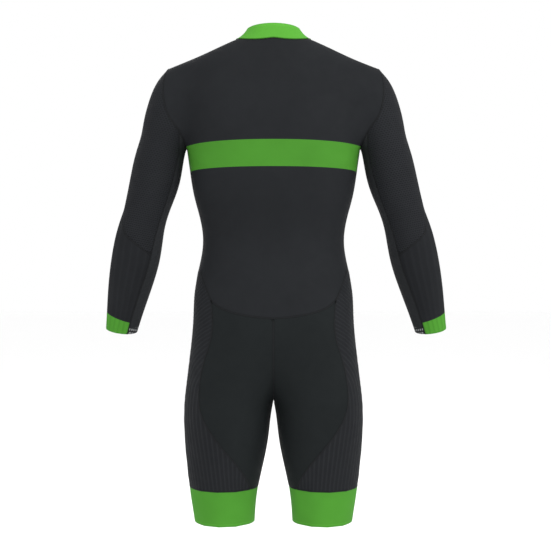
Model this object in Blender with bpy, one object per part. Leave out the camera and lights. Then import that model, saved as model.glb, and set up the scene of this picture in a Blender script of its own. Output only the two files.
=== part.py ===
"""Time trial skinsuit in its worn form: long sleeves, short legs, low collar and a front zip.

Metres, +Z up, the wearer faces -Y and the wearer's left is +X. The origin is in the middle of the
neck opening, level with the seam of the collar at the back, where the wearer's shoulders carry it.

The cloth follows one smooth skin, worked out from tables of level sections through a general
figure. The seams are curves on that skin. Each panel is cut between its four seams and is a wall
of even thickness, with a narrow gap to its neighbours.
"""

import math
from collections import namedtuple

import bmesh
import bpy
import numpy as np
from mathutils import Matrix, Vector

# Cloth
WALL = 0.0012  # thickness of the knitted panels
SEAM_GAP = 0.0004  # between the edges of two panels
RIB_HEIGHT = 0.0007  # how far the ribs of the forearm stand out

# Counts of steps in the panels' grids
SIDE_ROWS = 8  # waist to armpit
STRIP_STEPS = 8  # across the strip under the arm
SLEEVE_STEPS = 26  # round the rest of the sleeve, two to a rib
SHOULDER_ROWS = 2  # along the shoulder, armhole to collar
WAIST_STEPS = 2  # side seam to the notch in the back's edge
FRONT_STEPS = 10  # zip to side seam, SHORT_STEPS of them over the front short
SHORT_STEPS = 5
UPPER_ROWS = 10  # armhole to elbow
FOREARM_ROWS = 6
SEAT_STEPS = 6  # across the tail seam, and as many across the hem of the seat panel
HIP_ROWS = 4  # waist seam to the corner of the tail
THIGH_ROWS = 14  # corner of the tail to the leg band
CROTCH_ROWS = 8  # tail to crotch on the centre line
COLLAR_ROWS = 3

# Heights of the seams and edges
WAIST_Z = -0.476
ZIP_FOOT_Z = -0.505
BAND_Z = -0.912  # seam of the leg band
BAND_HEIGHTS = (BAND_Z, -0.936, -0.960, -0.984)
TAIL_CORNER_Z = -0.533
TAIL_LOW_Z = -0.566
SIDE_SEAM_TURN = -12.0  # degrees in front of the side, at the waist

# Zip
ZIP_HALF_SLOT = 0.0034  # centre line to the edge of a front panel
ZIP_ANGLE = -87.0  # where that edge is at the neck, in degrees
CHAIN_HALF_WIDTH = 0.0026
TAPE_INNER = 0.0029
TAPE_OUTER = 0.0125
TAPE_WALL = 0.0010
TAPE_GAP = 0.0005  # between a front and the tape behind it
CHAIN_RISE = 0.0004  # above the cloth
CHAIN_END = 0.0062  # below the rim, where the slider closes it
CLEARANCE = 0.0008  # between the slider and what it runs on
PLATE_WALL = 0.0014
SLIDER_WIDTH = 0.0092
SLIDER_LENGTH = 0.0105
SLIDER_TOP = 0.0004  # below the rim
PIN_DROP = 0.0048  # below the rim
PIN_RADIUS = 0.0008
EYE_RADIUS = 0.0018
EYE_WIDTH = 0.0026
EAR_INNER = 0.0016
EAR_OUTER = 0.0028
TAB_LENGTH = 0.024
TAB_WIDTH = 0.0062
TAB_WALL = 0.0014

# Where two tubes of the figure meet, the skin is rounded over about these widths
BLEND_SHOULDER = 0.034
BLEND_ARMPIT = 0.008
BLEND_FOLD = 0.028  # of the folds in front of and behind the arm,
FOLD_DEPTHS = [0.010, 0.036]  # between these depths
BLEND_NECK = 0.024
BLEND_CROTCH = 0.008
SHOULDER_Z = -0.12
ARMPIT_Z = -0.21
LEGS_FROM = -0.58  # the trunk turns into the two legs from here
LEGS_ALONE = -0.70  # to here
ARMPIT_SEAM_Z = -0.231  # where the side seam ends at the armhole
ARMPIT_ANGLE = -1.6
UNDER_ARM_ROUNDS = 4  # of smoothing, for the armhole between them
FORK_MARGIN = 0.0025  # how far under the crotch level rays are safe

BLACK = (0.028, 0.031, 0.033, 1.0)
GREEN = (0.095, 0.36, 0.04, 1.0)
METAL = (0.10, 0.10, 0.11, 1.0)

# Level sections of the figure. outer and inner are the two ends across, back and front the two
# ends in depth, and squareness is 2 for an ellipse and more for a squarer outline.
Section = namedtuple("Section", "z outer inner back front squareness")

TORSO = [
    Section(0.012, 0.050, -0.050, 0.040, -0.012, 2.0),
    Section(-0.003, 0.074, -0.074, 0.054, -0.014, 2.0),
    Section(-0.016, 0.104, -0.104, 0.066, -0.020, 2.0),
    Section(-0.030, 0.132, -0.132, 0.075, -0.030, 2.0),
    Section(-0.040, 0.156, -0.156, 0.081, -0.038, 2.0),
    Section(-0.055, 0.176, -0.176, 0.089, -0.050, 2.1),
    Section(-0.078, 0.184, -0.184, 0.099, -0.068, 2.2),
    Section(-0.100, 0.188, -0.188, 0.105, -0.086, 2.3),
    Section(-0.150, 0.186, -0.186, 0.112, -0.112, 2.4),
    Section(-0.200, 0.1805, -0.1805, 0.114, -0.124, 2.4),
    Section(-0.222, 0.1760, -0.1760, 0.113, -0.1255, 2.4),
    Section(-0.240, 0.1740, -0.1740, 0.111, -0.126, 2.4),
    Section(-0.273, 0.1710, -0.1710, 0.106, -0.123, 2.4),
    Section(-0.328, 0.162, -0.162, 0.094, -0.116, 2.4),
    Section(-0.373, 0.149, -0.149, 0.083, -0.110, 2.35),
    Section(-0.410, 0.1445, -0.1445, 0.077, -0.107, 2.3),
    Section(-0.440, 0.148, -0.148, 0.078, -0.106, 2.3),
    Section(-0.476, 0.1565, -0.1565, 0.087, -0.107, 2.3),
    Section(-0.533, 0.1635, -0.1635, 0.106, -0.108, 2.35),
    Section(-0.574, 0.164, -0.164, 0.117, -0.107, 2.4),
    Section(-0.615, 0.167, -0.167, 0.122, -0.105, 2.4),
    Section(-0.656, 0.171, -0.171, 0.121, -0.101, 2.4),
    Section(-0.700, 0.175, -0.175, 0.112, -0.096, 2.4),
    Section(-0.740, 0.176, -0.176, 0.100, -0.090, 2.4),
]

NECK = [
    Section(0.090, 0.046, -0.046, 0.045, -0.058, 2.0),
    Section(0.024, 0.049, -0.049, 0.056, -0.050, 2.0),
    Section(-0.030, 0.054, -0.054, 0.066, -0.053, 2.0),
    Section(-0.100, 0.058, -0.058, 0.074, -0.060, 2.0),
]

ARM = [
    Section(-0.053, 0.196, 0.184, 0.006, -0.006, 2.0),
    Section(-0.058, 0.210, 0.172, 0.024, -0.024, 2.0),
    Section(-0.0655, 0.221, 0.160, 0.037, -0.037, 2.0),
    Section(-0.077, 0.2325, 0.152, 0.047, -0.047, 2.0),
    Section(-0.096, 0.2435, 0.148, 0.054, -0.054, 2.0),
    Section(-0.120, 0.2535, 0.149, 0.058, -0.057, 2.0),
    Section(-0.158, 0.264, 0.158, 0.059, -0.059, 2.0),
    Section(-0.200, 0.2715, 0.172, 0.058, -0.058, 2.0),
    Section(-0.222, 0.278, 0.1785, 0.0575, -0.057, 2.0),
    Section(-0.240, 0.285, 0.1825, 0.057, -0.056, 2.0),
    Section(-0.288, 0.294, 0.1905, 0.056, -0.054, 2.0),
    Section(-0.326, 0.2995, 0.202, 0.053, -0.050, 2.0),
    Section(-0.364, 0.311, 0.2185, 0.049, -0.045, 2.0),
    Section(-0.399, 0.324, 0.2255, 0.046, -0.043, 2.0),
    Section(-0.425, 0.329, 0.2285, 0.042, -0.046, 2.1),
    Section(-0.456, 0.3345, 0.234, 0.034, -0.051, 2.1),
    Section(-0.496, 0.341, 0.247, 0.020, -0.058, 2.1),
    Section(-0.536, 0.345, 0.262, 0.003, -0.064, 2.0),
    Section(-0.571, 0.3485, 0.275, -0.012, -0.069, 2.0),
    Section(-0.605, 0.351, 0.286, -0.020, -0.074, 2.0),
    Section(-0.660, 0.354, 0.296, -0.030, -0.082, 2.0),
]
# The right forearm hangs a little farther out than the left one.
SWING_FROM = -0.26
SWING_TO = -0.60
SWING = 0.011

LEG = [
    Section(-0.560, 0.163, -0.060, 0.114, -0.104, 2.3),
    Section(-0.615, 0.167, -0.050, 0.118, -0.102, 2.3),
    Section(-0.656, 0.172, -0.036, 0.116, -0.099, 2.2),
    Section(-0.697, 0.177, -0.018, 0.110, -0.097, 2.1),
    Section(-0.720, 0.180, -0.007, 0.105, -0.096, 2.1),
    Section(-0.740, 0.1825, 0.0030, 0.101, -0.095, 2.1),
    Section(-0.779, 0.184, 0.0070, 0.093, -0.095, 2.1),
    Section(-0.820, 0.183, 0.0115, 0.087, -0.093, 2.05),
    Section(-0.861, 0.180, 0.0195, 0.081, -0.088, 2.0),
    Section(-0.912, 0.175, 0.031, 0.074, -0.080, 2.0),
    Section(-0.943, 0.171, 0.0355, 0.070, -0.075, 2.0),
    Section(-0.982, 0.164, 0.038, 0.067, -0.069, 2.0),
    Section(-1.040, 0.162, 0.040, 0.066, -0.066, 2.0),
]


class Tube:
    """A stack of level sections, with smooth curves through each column of its table."""

    def __init__(self, sections):
        rows = np.array(sorted(sections), float)
        self.z = rows[:, 0]
        outer, inner, back, front, square = rows[:, 1:].T
        self.ends_across = (inner.min(), outer.max())
        self.columns = np.stack(
            [(outer + inner) / 2, (back + front) / 2, (outer - inner) / 2, (back - front) / 2, square]
        )
        step = np.diff(self.z)
        rise = np.diff(self.columns, axis=1) / step
        self.slopes = np.zeros_like(self.columns)
        same_way = rise[:, 1:] * rise[:, :-1] > 0
        near = 2 * step[1:] + step[:-1]
        far = step[1:] + 2 * step[:-1]
        with np.errstate(divide="ignore", invalid="ignore"):
            mean = (near + far) / (near / rise[:, :-1] + far / rise[:, 1:])
        self.slopes[:, 1:-1] = np.where(same_way, mean, 0.0)
        self.slopes[:, 0] = rise[:, 0]
        self.slopes[:, -1] = rise[:, -1]

    def at(self, z):
        """centre_x, centre_y, half_x, half_y and squareness at heights z."""
        z = np.clip(z, self.z[0], self.z[-1])
        i = np.clip(np.searchsorted(self.z, z) - 1, 0, len(self.z) - 2)
        h = self.z[i + 1] - self.z[i]
        t = (z - self.z[i]) / h
        low, high = self.columns[:, i], self.columns[:, i + 1]
        rise_low, rise_high = self.slopes[:, i] * h, self.slopes[:, i + 1] * h
        return (
            low * (1 + 2 * t) * (1 - t) ** 2
            + rise_low * t * (1 - t) ** 2
            + high * t * t * (3 - 2 * t)
            + rise_high * t * t * (t - 1)
        )

    def distance(self, x, y, z):
        """About the distance to the surface, negative inside."""
        ratio, slope_x, slope_y = self.ratio(x, y, z)
        step = 0.0005
        slope_z = (self.ratio(x, y, z + step)[0] - ratio) / step
        slope = np.sqrt(slope_x**2 + slope_y**2 + slope_z**2)
        beyond = np.maximum(z - self.z[-1], self.z[0] - z)
        beside = np.maximum(self.ends_across[0] - x, x - self.ends_across[1])
        return np.maximum((ratio - 1) / np.maximum(slope, 4.0), np.maximum(beyond, beside))

    def ratio(self, x, y, z):
        """1 on the section's outline and less inside it, with its slopes across and in depth."""
        cx, cy, hx, hy, n = self.at(z)
        a, b = (x - cx) / hx, (y - cy) / hy
        ratio = np.maximum(np.abs(a) ** n + np.abs(b) ** n, 1e-12) ** (1 / n)
        steepness = ratio ** (1 - n)
        return ratio, steepness * np.abs(a) ** (n - 1) / hx, steepness * np.abs(b) ** (n - 1) / hy


torso, neck, arm, leg = Tube(TORSO), Tube(NECK), Tube(ARM), Tube(LEG)


def blend(a, b, width):
    """The smaller of two distances, rounded where they are nearly equal."""
    near = np.maximum(width - np.abs(a - b), 0) / width
    return np.minimum(a, b) - near * near * width / 4


def swing(z):
    """How much farther out the right arm is than the left one."""
    return SWING * np.clip((SWING_FROM - z) / (SWING_FROM - SWING_TO), 0, 1)


def skin(points):
    """About the distance of each point to the figure's skin, negative inside."""
    x, y, z = points[:, 0], points[:, 1], points[:, 2]
    side = np.abs(x)
    legs = blend(leg.distance(x, y, z), leg.distance(-x, y, z), BLEND_CROTCH)
    share = np.clip((LEGS_FROM - z) / (LEGS_FROM - LEGS_ALONE), 0, 1)
    share = share * share * (3 - 2 * share)
    trunk = torso.distance(side, y, z) * (1 - share) + legs * share
    trunk = blend(trunk, neck.distance(side, y, z), BLEND_NECK)
    arm_blend = np.interp(z, [ARMPIT_Z, SHOULDER_Z], [BLEND_ARMPIT, BLEND_SHOULDER])
    arm_blend = np.maximum(arm_blend, np.interp(np.abs(y), FOLD_DEPTHS, [0, BLEND_FOLD]))
    return blend(trunk, arm.distance(side - np.where(x < 0, swing(z), 0), y, z), arm_blend)


def normals_at(points):
    e = 0.0003
    steps = np.eye(3) * e
    slope = np.stack([skin(points + s) - skin(points - s) for s in steps], axis=1)
    return slope / np.linalg.norm(slope, axis=1, keepdims=True)


def cast(origins, directions):
    """Where rays from inside the figure first meet its skin."""
    near = np.zeros((len(directions), 1))
    far = near.copy()
    found = np.zeros_like(near, bool)
    for _ in range(300):
        depth = -skin(origins + directions * far)[:, None]
        found |= depth <= 0
        near = np.where(found, near, far)
        far = np.where(found, far, far + np.clip(0.7 * depth, 0.0006, 0.02))
        if found.all():
            break
    for _ in range(12):
        middle = (near + far) / 2
        inside = skin(origins + directions * middle)[:, None] < 0
        near, far = np.where(inside, middle, near), np.where(inside, far, middle)
    return origins + directions * near


# Each region has two coordinates, an angle in degrees and a second one, that name a point of the
# skin. The angle is 0 at the wearer's left or outer side, and 90 at the back.


class Level:
    """A region read by level rays from a middle line. The second coordinate is z."""

    def __init__(self, tube, top, lowest_angle):
        self.tube = tube
        self.top = top
        self.lowest_angle = lowest_angle

    def middle(self, z):
        z = np.asarray(z, float)
        cx, cy = self.tube.at(np.minimum(z, self.top))[:2]
        return np.stack([cx, cy, z], axis=-1)

    def points(self, places):
        turn = np.radians(places[:, 0])
        rays = np.stack([np.cos(turn), np.sin(turn), np.zeros_like(turn)], axis=1)
        return cast(self.middle(places[:, 1]), rays)

    def places(self, points):
        arms = points - self.middle(points[:, 2])
        angle = np.degrees(np.arctan2(arms[:, 1], arms[:, 0]))
        angle = (angle - self.lowest_angle) % 360 + self.lowest_angle
        return np.stack([angle, points[:, 2]], axis=1)


class Dome(Level):
    """The trunk. Up to the dome's foot its rays are level, and above it they fan upwards, so that
    the second coordinate, still a length, goes on up the cloth and over the shoulders."""

    def points(self, places):
        angle, up = places.T
        turn = np.radians(angle)
        rise = np.maximum(up - DOME_FOOT, 0) / DOME_REACH
        rays = np.stack([np.cos(turn) * np.cos(rise), np.sin(turn) * np.cos(rise), np.sin(rise)], axis=1)
        return cast(self.middle(np.minimum(up, DOME_FOOT)), rays)

    def places(self, points):
        found = super().places(points)
        arms = points - self.middle(points[:, 2])
        above = np.maximum(points[:, 2] - DOME_FOOT, 0)
        rise = np.arctan2(above, np.linalg.norm(arms[:, :2], axis=1))
        found[:, 1] = np.minimum(points[:, 2], DOME_FOOT) + rise * DOME_REACH
        return found


DOME_FOOT = -0.25
DOME_REACH = 0.19
SPINE = Tube([Section(0.1, 0.1, -0.1, 0.105, -0.095, 2.0), Section(-0.8, 0.1, -0.1, 0.105, -0.095, 2.0)])
neck_region = Level(SPINE, 1.0, -90.0)
trunk_region = Dome(SPINE, 1.0, -90.0)
LEG_LINE_TOP = -0.75  # above this the leg's middle line runs straight up
leg_back = Level(leg, LEG_LINE_TOP, -90.0)
leg_front = Level(leg, LEG_LINE_TOP, -270.0)


# The sleeve's cross-cuts: they fan out about a point under the armpit from the armhole to the
# upper arm, and then follow the arm. tilt is how far a cut rises outwards, pitch how far it
# drops backwards, in degrees.
Cut = namedtuple("Cut", "z tilt pitch")
ARMHOLE_TILT = 78.0
FAN_END_TILT = 17.0
FAN_CENTRE = (0.1742, -0.2430)  # x and z, in the gap between the arm and the side
SLEEVE_CUTS = [
    Cut(-0.236, 17.0, 0.0),
    Cut(-0.330, 17.0, 0.0),
    Cut(-0.385, 14.0, 4.0),
    Cut(-0.430, 11.0, 11.0),
    Cut(-0.600, 8.5, 15.0),
]
CUFF_Z = -0.597


class SleeveRegion:
    """The left sleeve. The second coordinate is 0 at the armhole, 1 at the end of the fan and
    2 at the cuff, and the angle is 0 outside, 90 at the back and 180 under the arm."""

    def __init__(self):
        self.hub = np.array(FAN_CENTRE)

    def frame(self, along):
        """Middle of the cut, and its outward and backward directions."""
        if along <= 1:
            tilt = ARMHOLE_TILT + (FAN_END_TILT - ARMHOLE_TILT) * along
            turn = math.radians(tilt)
            way = np.array([math.cos(turn), math.sin(turn)])
            low, high = 0.01, 0.20
            for _ in range(40):
                reach = (low + high) / 2
                x, z = self.hub + way * reach
                if x < arm.at(z)[0]:
                    low = reach
                else:
                    high = reach
            pitch = 0.0
        else:
            top = self.frame(1.0)[0][2]
            z = top + (CUFF_Z - top) * (along - 1)
            cuts = np.array(SLEEVE_CUTS)[::-1]
            tilt = np.interp(z, cuts[:, 0], cuts[:, 1])
            pitch = math.radians(np.interp(z, cuts[:, 0], cuts[:, 2]))
            turn = math.radians(tilt)
            x = arm.at(z)[0]
        y = arm.at(z)[1]
        outward = np.array([math.cos(turn), 0.0, math.sin(turn)])
        backward = np.array([0.0, math.cos(pitch), -math.sin(pitch)])
        return np.array([x, float(y), z], float), outward, backward

    def points(self, places):
        frames = [self.frame(along) for along in places[:, 1]]
        middles, outward, backward = (np.array(column) for column in zip(*frames))
        turn = np.radians(places[:, :1])
        return cast(middles, outward * np.cos(turn) + backward * np.sin(turn))


sleeve_region = SleeveRegion()


def curve(rows, steps):
    """Evenly spaced points on a smooth curve through the rows of a table, ends included."""
    rows = np.array(rows, float)
    ends = np.vstack([2 * rows[0] - rows[1], rows, 2 * rows[-1] - rows[-2]])
    fine = []
    for before, start, stop, after in zip(ends, ends[1:], ends[2:], ends[3:]):
        t = np.linspace(0, 1, 24, endpoint=False)[:, None]
        fine.append(
            0.5
            * (
                2 * start
                + (stop - before) * t
                + (2 * before - 5 * start + 4 * stop - after) * t**2
                + (3 * start - before - 3 * stop + after) * t**3
            )
        )
    return resample(np.vstack(fine + [rows[-1:]]), steps)


def resample(points, steps):
    """steps + 1 points, evenly spaced along a polyline."""
    lengths = np.linalg.norm(np.diff(points, axis=0), axis=1)
    along = np.concatenate([[0], np.cumsum(lengths)])
    wanted = np.linspace(0, along[-1], steps + 1)
    return np.stack([np.interp(wanted, along, column) for column in points.T], axis=1)


def even(region, places, steps):
    """The points of a curve on the skin, evenly spaced, for places close together."""
    fine = region.points(np.asarray(places, float))
    return onto_skin(resample(fine, steps))


def onto_skin(points):
    """Moves points that lie close to the skin onto it."""
    for _ in range(4):
        points = points - normals_at(points) * skin(points)[:, None]
    return points


def join(*pieces):
    """One curve from several that meet end to end."""
    return np.vstack([pieces[0]] + [piece[1:] for piece in pieces[1:]])


def flip(points):
    return points[::-1]


def mirrored(points):
    return points * np.array([-1.0, 1.0, 1.0])


def right_sleeve(points):
    other = mirrored(points)
    other[..., 0] -= swing(other[..., 2])
    return other


def patch(bottom, top, left, right):
    """A grid between four edges, as the mean of straight lines across and up."""
    rows, columns = len(left), len(bottom)
    v = np.linspace(0, 1, rows)[:, None, None]
    u = np.linspace(0, 1, columns)[None, :, None]
    across = left[:, None] * (1 - u) + right[:, None] * u
    up = bottom[None] * (1 - v) + top[None] * v
    corners = (
        bottom[0] * (1 - u) * (1 - v) + bottom[-1] * u * (1 - v) + top[0] * (1 - u) * v + top[-1] * u * v
    )
    return across + up - corners


def panel_grid(region, bottom, top, left, right):
    """Skin points of a panel between four seams that meet at its corners. left and right run up."""
    edges = [region.places(edge) for edge in (bottom, top, left, right)]
    places = patch(*edges)
    rows, columns = places.shape[:2]
    grid = region.points(places.reshape(-1, 2)).reshape(rows, columns, 3)
    grid[0], grid[-1], grid[:, 0], grid[:, -1] = bottom, top, left, right
    return relaxed(grid)


def relaxed(grid, rounds=30):
    """Spreads the points inside a panel evenly over the skin, with its rim held."""
    grid = grid.copy()
    for _ in range(rounds):
        inner = (grid[:-2, 1:-1] + grid[2:, 1:-1] + grid[1:-1, :-2] + grid[1:-1, 2:]) / 4
        grid[1:-1, 1:-1] = onto_skin(inner.reshape(-1, 3)).reshape(inner.shape)
    return grid


def edge_directions(grid, normals):
    """At each point of the rim, the way into the panel, square to the rim and along the cloth."""
    rows, columns = grid.shape[:2]
    inward = np.zeros_like(grid)
    rims = [
        ((0, slice(None)), (1, slice(None))),
        ((rows - 1, slice(None)), (rows - 2, slice(None))),
        ((slice(None), 0), (slice(None), 1)),
        ((slice(None), columns - 1), (slice(None), columns - 2)),
    ]
    for rim, next_in in rims:
        line = grid[rim]
        run = np.gradient(line, axis=0)
        way = np.cross(normals[rim], run)
        way /= np.maximum(np.linalg.norm(way, axis=1, keepdims=True), 1e-9)
        towards = np.einsum("ij,ij->i", way, grid[next_in] - line)
        inward[rim] += way * np.sign(np.median(towards))
    return inward


def add_object(mesh_name, bm, colour, roughness=0.75, metallic=0.0):
    bmesh.ops.recalc_face_normals(bm, faces=bm.faces)
    if bm.calc_volume(signed=True) < 0:
        bmesh.ops.reverse_faces(bm, faces=bm.faces)
    mesh = bpy.data.meshes.new(mesh_name)
    bm.to_mesh(mesh)
    bm.free()
    material = bpy.data.materials.new(mesh_name)
    material.use_nodes = True
    shader = material.node_tree.nodes["Principled BSDF"]
    shader.inputs["Base Color"].default_value = colour
    shader.inputs["Roughness"].default_value = roughness
    shader.inputs["Metallic"].default_value = metallic
    mesh.materials.append(material)
    mesh.shade_smooth()
    mesh.set_sharp_from_angle(angle=math.radians(40))
    made = bpy.data.objects.new(mesh_name, mesh)
    suit.objects.link(made)
    return made


def wall(name, grid, colour, relief=None, closed=False, outside=0.0, thickness=WALL):
    """A panel as a wall. grid is rows by columns of skin points, relief what the outer points are
    raised by, closed joins the last column to the first, and outside moves the wall off the skin."""
    rows, columns = grid.shape[:2]
    normals = normals_at(grid.reshape(-1, 3)).reshape(grid.shape)
    if closed:
        inward = np.zeros_like(grid)
        inward[0] = [0, 0, np.sign(grid[1, 0, 2] - grid[0, 0, 2])]
        inward[-1] = -inward[0]
    else:
        inward = edge_directions(grid, normals)
    base = grid + inward * SEAM_GAP / 2
    raised = np.zeros((rows, columns)) if relief is None else relief
    outer = base + normals * (outside + raised)[..., None]
    inner = base + normals * (outside - thickness)
    bm = bmesh.new()
    skins = [[[bm.verts.new(p) for p in row] for row in layer] for layer in (outer, inner)]
    last = columns if closed else columns - 1
    for layer in skins:
        for low, high in zip(layer, layer[1:]):
            for j in range(last):
                k = (j + 1) % columns
                bm.faces.new((low[j], low[k], high[k], high[j]))
    outside_rows, inside_rows = skins
    for row in (0, rows - 1):
        for j in range(last):
            k = (j + 1) % columns
            bm.faces.new((outside_rows[row][j], outside_rows[row][k], inside_rows[row][k], inside_rows[row][j]))
    if not closed:
        for column in (0, columns - 1):
            for i in range(rows - 1):
                bm.faces.new(
                    (
                        outside_rows[i][column],
                        outside_rows[i + 1][column],
                        inside_rows[i + 1][column],
                        inside_rows[i][column],
                    )
                )
    return add_object(name, bm, colour)


def both_sides(name, grid, colour, relief=None, to_right=mirrored):
    """The same panel on the wearer's left and right."""
    wall(name + "_left", grid, colour, relief)
    wall(name + "_right", to_right(grid), colour, relief)


# Seams of the sleeve. The strip under the arm narrows towards the cuff: strip_edge is where its
# back and front edges run, in degrees from the outside of the arm.
StripEdge = namedtuple("StripEdge", "along angle")
STRIP_EDGES = [
    StripEdge(0.0, 141),
    StripEdge(1.45, 139),
    StripEdge(1.75, 131),
    StripEdge(2.0, 122),
]
# How far down the elbow seam lies, from the outside of the arm round to the strip.
ElbowPoint = namedtuple("ElbowPoint", "share_round along")
ELBOW_SEAM = [
    ElbowPoint(0.0, 1.33),
    ElbowPoint(0.2, 1.40),
    ElbowPoint(0.4, 1.47),
    ElbowPoint(0.7, 1.51),
    ElbowPoint(1.0, 1.55),
]
ARMHOLE_BULGE = 0.20  # how far the armhole seam bends outwards at the back and in front


def strip_angle(along):
    rows = np.array(STRIP_EDGES)
    return np.interp(along, rows[:, 0], rows[:, 1])


def sleeve_rows(starts, ends, angles, rows):
    """Rows of skin points from one seam across the sleeve to another, round the given angles."""
    grid = []
    for t in np.linspace(0, 1, rows + 1):
        along = starts + (ends - starts) * t
        grid.append(sleeve_region.points(np.stack([angles(along), along], axis=1)))
    return np.array(grid)


def sleeve_grids():
    """Skin points of the upper sleeve, the forearm and the strip."""
    share = np.linspace(-1, 1, SLEEVE_STEPS + 1)
    elbow_rows = np.array(ELBOW_SEAM)
    elbow = np.interp(np.abs(share), elbow_rows[:, 0], elbow_rows[:, 1])
    armhole = armhole_bend(share * strip_angle(0.0))
    cuff = np.full_like(share, 2.0)
    upper = sleeve_rows(armhole, elbow, lambda along: share * strip_angle(along), UPPER_ROWS)
    forearm = sleeve_rows(elbow, cuff, lambda along: share * strip_angle(along), FOREARM_ROWS)

    under = np.linspace(1, -1, STRIP_STEPS + 1)

    def round_strip(along):
        return 180 - under * (180 - strip_angle(along))

    armhole = armhole_bend(round_strip(np.zeros_like(under)))
    elbow, cuff = np.full_like(under, elbow[-1]), np.full_like(under, 2.0)
    strip = join(
        sleeve_rows(armhole, elbow, round_strip, UPPER_ROWS),
        sleeve_rows(elbow, cuff, round_strip, FOREARM_ROWS),
    )
    strip[:, 0] = join(upper[:, -1], forearm[:, -1])
    strip[:, -1] = join(upper[:, 0], forearm[:, 0])
    strip[0] = pinned(under_arm(strip[0]), strip[0, 0], strip[0, -1])
    strip = relaxed(strip)
    return upper, forearm, strip


def under_arm(line):
    """The lowest part of the armhole, which lies on the wearer's side just below the armpit."""
    lowest = trunk_region.points(np.array([[ARMPIT_ANGLE, ARMPIT_SEAM_Z]]))[0]
    line = onto_skin(curve([line[0], lowest, line[-1]], STRIP_STEPS))
    for _ in range(UNDER_ARM_ROUNDS):
        line[1:-1] = onto_skin((line[:-2] + line[2:]) / 2)
    return line


def armhole_bend(angles):
    return ARMHOLE_BULGE * np.sin(np.radians(angles)) ** 2


def make_sleeves():
    """Returns the armhole's two halves, from the armpit up behind and in front."""
    upper, forearm, strip = sleeve_grids()
    ribs = np.zeros(forearm.shape[:2])
    ribs[1:, 1::2] = RIB_HEIGHT
    both_sides("sleeve_upper", upper, BLACK, to_right=right_sleeve)
    both_sides("sleeve_forearm", forearm, BLACK, ribs, right_sleeve)
    both_sides("sleeve_strip", strip, BLACK, to_right=right_sleeve)
    under, over = STRIP_STEPS // 2, SLEEVE_STEPS // 2
    back = join(flip(strip[0, : under + 1]), flip(upper[0, over:]))
    front = join(strip[0, under:], upper[0, : over + 1])
    return back, front


# Seam of the collar, as how steeply it is seen from the dome's foot, and the top edge of the
# collar over it. The angle is 0 at the side of the neck, 90 at the back and -90 at the front.
NeckPoint = namedtuple("NeckPoint", "angle rise rim_z")
NECK_LINE = [
    NeckPoint(-90, 72.0, -0.036),
    NeckPoint(-60, 73.0, -0.027),
    NeckPoint(-30, 73.0, -0.005),
    NeckPoint(0, 72.4, 0.0180),
    NeckPoint(30, 72.6, 0.0195),
    NeckPoint(60, 74.0, 0.0210),
    NeckPoint(90, 75.0, 0.0215),
]
RIM_FRONT_Z = NECK_LINE[0].rim_z


def neck_curve(column, start, stop, steps):
    """Part of the collar's seam (column 1) or rim (column 2), between two angles."""
    half = curve(np.array(NECK_LINE)[:, [0, column]], 120)
    whole = join(half, flip(half) * [-1, 1] + [180, 0])
    angles = np.linspace(start, stop, 121)
    second = np.interp(angles, whole[:, 0], whole[:, 1])
    if column == 2:
        return even(neck_region, np.stack([angles, second], axis=1), steps)
    up = DOME_FOOT + DOME_REACH * np.radians(second)
    return even(trunk_region, np.stack([angles, up], axis=1), steps)


def zip_line(x, low, high, steps):
    """Evenly spaced skin points in front, at a distance x beside the centre line."""
    heights = np.linspace(low, high, 90)
    origins = np.stack([np.full_like(heights, x), np.zeros_like(heights), heights], axis=1)
    return onto_skin(resample(cast(origins, np.tile([0.0, -1.0, 0.0], (90, 1))), steps))


def crotch_line(start, steps):
    """Skin points on the centre line, from a point of it down to the lowest one."""
    middle = np.array(SEAT_CENTRE)
    arm_y, arm_z = (start - middle)[1:]
    turn = np.linspace(math.atan2(arm_y, -arm_z), 0, 90)
    rays = np.stack([np.zeros(90), np.sin(turn), -np.cos(turn)], axis=1)
    line = onto_skin(resample(cast(middle, rays), steps))
    line[:, 0] = 0.0
    line[0] = start
    return line


def pinned(line, first, last):
    """The same curve, with its ends exactly where its neighbours' ends are."""
    line = line.copy()
    line[0], line[-1] = first, last
    return line


# Seams of the lower half, as places of the region they name: the hip seam and the edge of the
# tail on the trunk, and on the leg the seam that winds from the tail round the back of the thigh,
# and a plain one in front.
SEAT_CENTRE = (0.0, 0.005, -0.62)
SeamPoint = namedtuple("SeamPoint", "angle z")
FRONT_FOOT = [
    SeamPoint(-88.0, ZIP_FOOT_Z),
    SeamPoint(-62.0, -0.499),
    SeamPoint(-35.0, -0.484),
    SeamPoint(SIDE_SEAM_TURN, WAIST_Z),
]
HIP_SEAM = [SeamPoint(9.0, WAIST_Z), SeamPoint(19.0, -0.500), SeamPoint(30.5, TAIL_CORNER_Z)]
TAIL_EDGE = [
    SeamPoint(30.5, TAIL_CORNER_Z),
    SeamPoint(39.0, -0.5465),
    SeamPoint(52.0, -0.5565),
    SeamPoint(72.0, -0.5640),
    SeamPoint(90.0, TAIL_LOW_Z),
]
BACK_SEAM = [
    SeamPoint(69.0, TAIL_CORNER_Z),
    SeamPoint(73.0, -0.560),
    SeamPoint(74.5, -0.590),
    SeamPoint(72.0, -0.617),
    SeamPoint(66.5, -0.640),
    SeamPoint(61.5, -0.665),
    SeamPoint(57.5, -0.700),
    SeamPoint(55.0, -0.729),
    SeamPoint(59.0, -0.760),
    SeamPoint(70.0, -0.788),
    SeamPoint(88.0, -0.825),
    SeamPoint(113.0, -0.865),
    SeamPoint(129.0, -0.891),
    SeamPoint(141.0, BAND_Z),
]
FRONT_SEAM = [
    SeamPoint(-60.0, -0.560),
    SeamPoint(-50.0, -0.640),
    SeamPoint(-46.0, -0.740),
    SeamPoint(-52.0, -0.830),
    SeamPoint(-62.0, BAND_Z),
]


def seam(region, rows, steps):
    return even(region, curve(rows, 120), steps)


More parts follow.
